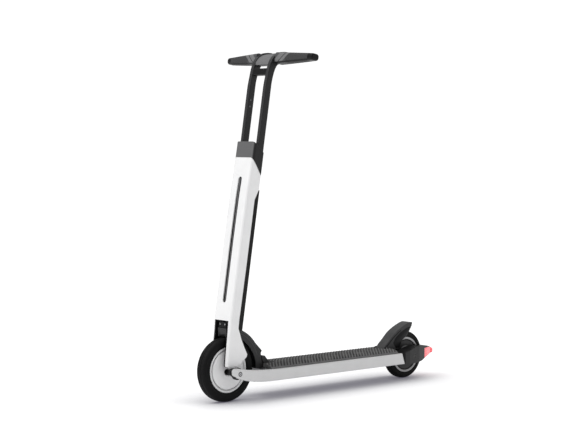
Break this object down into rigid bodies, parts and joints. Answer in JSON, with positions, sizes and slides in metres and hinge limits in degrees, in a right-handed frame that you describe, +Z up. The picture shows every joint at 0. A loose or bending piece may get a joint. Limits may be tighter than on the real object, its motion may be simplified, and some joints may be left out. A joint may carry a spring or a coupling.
{
  "type": "electric kick scooter",
  "caption": "Folding electric kick scooter with a hub-centre steered front wheel, flat board with grip mat, foot-brake rear fender, rear hub motor and a tall stem with a bar.",
  "frame": {"origin": "on the ground under the middle of the scooter's outer box", "axes": "+X forward, +Y to the rider's left, +Z up"},
  "size_m": [0.959, 0.39, 1.0258],
  "materials": {
    "white_paint": "satin white",
    "white_plastic": "gloss white",
    "black_plastic": "fine texture",
    "black_gloss": "gloss",
    "dark_grey": "satin anodised look",
    "grey_plastic": "satin",
    "light_grey": "satin",
    "rubber": "ribbed",
    "tyre": "grooved",
    "steel": "machined",
    "aluminium": "brushed",
    "red_lens": "clear red",
    "light_guide": "smoked",
    "motor_grey": "satin",
    "black_glass": "smoked"
  },
  "bodies": {
    "deck": {"rail_left": "white_paint", "rail_right": "white_paint", "pivot_bolt_caps": "steel", "crossmembers": "white_paint", "deck_plate": "aluminium", "deck_pan": "aluminium", "deck_screws": "steel", "battery_pack": "aluminium", "motor_controller": "aluminium", "deck_mat": "rubber", "charge_socket": "motor_grey", "front_fender": "black_plastic", "fender_nose_cap": "black_plastic", "hinge_pins": "steel", "hinge_lugs": "black_plastic", "tail_housing": "black_plastic", "tail_lens": "red_lens", "motor_stator": "motor_grey", "rear_axle": "steel", "brake_spring": "steel"},
    "charge_flap": {"charge_flap": "rubber"},
    "fold_pedal": {"fold_pedal": "black_plastic"},
    "rear_wheel": {"rear_tyre": "tyre", "motor_casing": "dark_grey", "rear_bearings": "steel"},
    "brake_fender": {"brake_fender": "grey_plastic", "brake_pad": "rubber"},
    "axle_cross": {"front_axle": "steel", "steering_cross": "steel", "axle_sleeves": "dark_grey", "lock_discs": "steel"},
    "stem": {"hub_carrier": "aluminium", "front_bearing": "steel", "hub_covers": "white_plastic", "hub_spacers": "aluminium", "fork_legs": "dark_grey", "stem_tube": "aluminium", "stem_cable": "rubber", "front_shell": "white_plastic", "light_guide": "light_guide", "stem_back_cover": "black_plastic", "stem_collar": "grey_plastic", "tube_tenons": "steel", "handle_tube_left": "dark_grey", "handle_tube_right": "dark_grey", "tube_crossbar": "dark_grey", "tube_screws": "steel", "bar_core": "steel", "bar_roots": "light_grey", "grips": "grey_plastic", "bar_ends": "black_gloss", "centre_panel": "light_grey", "centre_housing": "black_plastic", "display_window": "black_glass", "paddle_mounts": "black_plastic"},
    "front_wheel": {"front_tyre": "tyre", "front_rim": "white_paint"},
    "throttle_paddle": {"throttle_paddle": "black_plastic"},
    "brake_paddle": {"brake_paddle": "black_plastic"},
    "power_button": {"power_button": "black_plastic"}
  },
  "joints": [
    {"name": "stem_fold", "type": "hinge", "parent": "deck", "child": "axle_cross", "pos_m": [0.3845, 0, 0.0885], "axis": [0, -1, 0], "range_deg": [0, 64]},
    {"name": "steer", "type": "hinge", "parent": "axle_cross", "child": "stem", "pos_m": [0.3845, 0, 0.0885], "axis": [-0.1599, 0, 0.9871], "range_deg": [-10, 10]},
    {"name": "front_wheel_spin", "type": "hinge", "parent": "stem", "child": "front_wheel", "pos_m": [0.3845, 0, 0.095], "axis": [0, 1, 0], "continuous": true},
    {"name": "rear_wheel_spin", "type": "hinge", "parent": "deck", "child": "rear_wheel", "pos_m": [-0.3465, 0, 0.076], "axis": [0, 1, 0], "continuous": true},
    {"name": "foot_brake", "type": "hinge", "parent": "deck", "child": "brake_fender", "pos_m": [-0.2525, 0, 0.104], "axis": [0, -1, 0], "range_deg": [0, 2.9], "stiffness_Nm_per_rad": 25, "springref_deg": -1.72, "deforming": ["brake_spring"]},
    {"name": "fold_pedal_press", "type": "hinge", "parent": "deck", "child": "fold_pedal", "pos_m": [0.2405, 0, 0.097], "axis": [0, -1, 0], "range_deg": [0, 12], "stiffness_Nm_per_rad": 0.8, "springref_deg": -2.86},
    {"name": "throttle_press", "type": "hinge", "parent": "stem", "child": "throttle_paddle", "pos_m": [0.18383, 0, 1.00563], "axis": [0, -1, 0], "range_deg": [0, 10], "stiffness_Nm_per_rad": 0.2, "springref_deg": -5.73},
    {"name": "brake_press", "type": "hinge", "parent": "stem", "child": "brake_paddle", "pos_m": [0.18383, 0, 1.00563], "axis": [0, -1, 0], "range_deg": [0, 10], "stiffness_Nm_per_rad": 0.2, "springref_deg": -5.73},
    {"name": "power_press", "type": "slide", "parent": "stem", "child": "power_button", "axis": [0.1599, 0, -0.9871], "range_m": [0, 0.001], "stiffness_N_per_m": 500, "springref_m": -0.0005},
    {"name": "charge_flap_open", "type": "hinge", "parent": "deck", "child": "charge_flap", "pos_m": [0.1545, -0.0733, 0.0855], "axis": [-1, 0, 0], "range_deg": [0, 100]}
  ]
}
